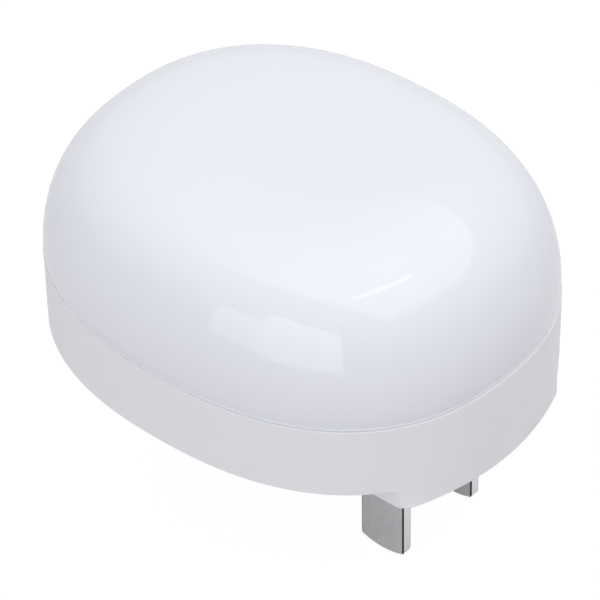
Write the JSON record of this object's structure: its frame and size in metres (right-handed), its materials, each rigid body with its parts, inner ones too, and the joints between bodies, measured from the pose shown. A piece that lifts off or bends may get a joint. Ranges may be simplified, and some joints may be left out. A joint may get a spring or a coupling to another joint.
{
  "type": "plug in night light",
  "caption": "Oval plug-in night light: an opal domed diffuser pressed into a shallow base that carries a raised plug pad with two flat blades, a driver board and a light sensor inside.",
  "frame": {"origin": "on the face of the raised plug pad, midway between the two blades, where the outlet holds the light", "axes": "+Z out of the wall through the diffuser, -Z along the blades into the outlet, +Y along the oval away from its plug end, +X across the blades"},
  "size_m": [0.0512, 0.0618, 0.0462],
  "materials": {
    "opal_diffuser": "glossy opal polycarbonate, milky white with a faint blue cast",
    "white_housing": "satin white moulded plastic",
    "nickel_blade": "satin nickel plate over brass",
    "white_clamp": "plain white moulded plastic",
    "screw_steel": "zinc-plated steel",
    "board_laminate": "glass-epoxy laminate with white solder mask",
    "led_case": "white moulded LED case",
    "led_phosphor": "yellow phosphor in clear silicone",
    "film_case": "yellow moulded box filled with resin",
    "can_sleeve": "dark shrink sleeve on an aluminium can",
    "black_epoxy": "black moulded epoxy",
    "fuse_coat": "green cement coat",
    "bleed_coat": "tan lacquer",
    "sensor_resin": "clear epoxy lens",
    "window_clear": "clear polished plastic",
    "shroud_black": "soft black sleeve",
    "tinned_lead": "tinned copper",
    "solder_alloy": "tin solder",
    "live_insulation": "black PVC insulation",
    "neutral_insulation": "white PVC insulation"
  },
  "bodies": {
    "base": {"base_housing": "white_housing", "blade_left": "nickel_blade", "blade_right": "nickel_blade", "blade_clamp": "white_clamp", "clamp_screws": "screw_steel", "led_board": "board_laminate", "board_screws": "screw_steel", "led_cases": "led_case", "led_phosphors": "led_phosphor", "film_capacitor": "film_case", "smoothing_capacitor": "can_sleeve", "bridge_rectifier": "black_epoxy", "fuse_resistor": "fuse_coat", "bleed_resistor": "bleed_coat", "chip_resistors": "black_epoxy", "zener_diode": "black_epoxy", "sensor_transistor": "black_epoxy", "light_sensor": "sensor_resin", "sensor_shroud": "shroud_black", "sensor_window": "window_clear", "component_leads": "tinned_lead", "live_wire": "live_insulation", "neutral_wire": "neutral_insulation", "solder_joints": "solder_alloy"},
    "cover": {"diffuser": "opal_diffuser"}
  },
  "joints": [
    {"name": "cover_pull", "type": "slide", "parent": "base", "child": "cover", "axis": [0, 0, 1], "range_m": [0, 0.03]}
  ]
}
